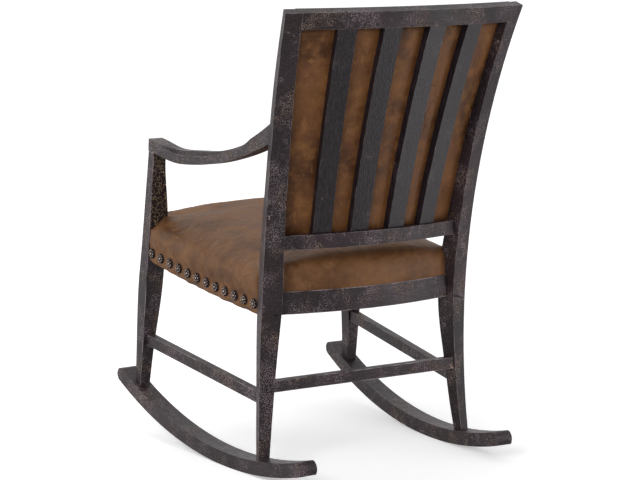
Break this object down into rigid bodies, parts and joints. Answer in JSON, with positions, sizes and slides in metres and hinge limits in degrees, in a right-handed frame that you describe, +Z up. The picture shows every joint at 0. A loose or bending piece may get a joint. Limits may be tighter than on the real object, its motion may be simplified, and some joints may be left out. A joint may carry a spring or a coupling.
{
  "type": "rocking chair",
  "caption": "Painted hickory rocking armchair with a bowed slatted back, a leather back panel and a stuffed leather seat edged with domed nails.",
  "frame": {"origin": "on the floor under the middle of the bounding box", "axes": "+X to the sitter's left, +Y to the back of the chair, +Z up; the chair faces -Y"},
  "size_m": [0.6568, 0.8333, 1.0648],
  "materials": {
    "paint": "satin near-black paint, finely crackled over a red-brown coat and rubbed at the edges",
    "slat_paint": "satin charcoal paint, smoother than the frame's",
    "leather": "waxed brown leather, mottled, with a soft sheen",
    "nails": "antique bronze, dark in the hollows",
    "bare_wood": "sawn hickory, unfinished and hidden",
    "webbing": "woven jute",
    "foam": "open-cell upholstery foam",
    "lining": "thin black cambric",
    "steel": "plain wood screws"
  },
  "bodies": {
    "root": {"rocker_left": "paint", "rocker_right": "paint", "rear_post_left": "paint", "rear_post_right": "paint", "front_leg_left": "paint", "front_leg_right": "paint", "arm_left": "paint", "arm_right": "paint", "top_rail": "paint", "lower_back_rail": "paint", "rear_seat_rail": "paint", "back_stretcher": "paint", "side_stretcher_left": "paint", "side_stretcher_right": "paint", "back_slat_1": "slat_paint", "back_slat_2": "slat_paint", "back_slat_3": "slat_paint", "back_slat_4": "slat_paint", "side_seat_rail_left": "bare_wood", "side_seat_rail_right": "bare_wood", "front_seat_rail": "bare_wood", "front_corner_block_left": "bare_wood", "front_corner_block_right": "bare_wood", "back_corner_block_left": "bare_wood", "back_corner_block_right": "bare_wood", "back_board": "bare_wood", "foot_dowels": "bare_wood", "long_webbing": "webbing", "cross_webbing": "webbing", "seat_foam": "foam", "back_foam": "foam", "seat_leather": "leather", "inside_back_leather": "leather", "outside_back_leather": "leather", "dust_cover": "lining", "panel_screws": "steel", "side_nails_left": "nails", "side_nails_right": "nails", "front_nails": "nails"}
  },
  "joints": []
}
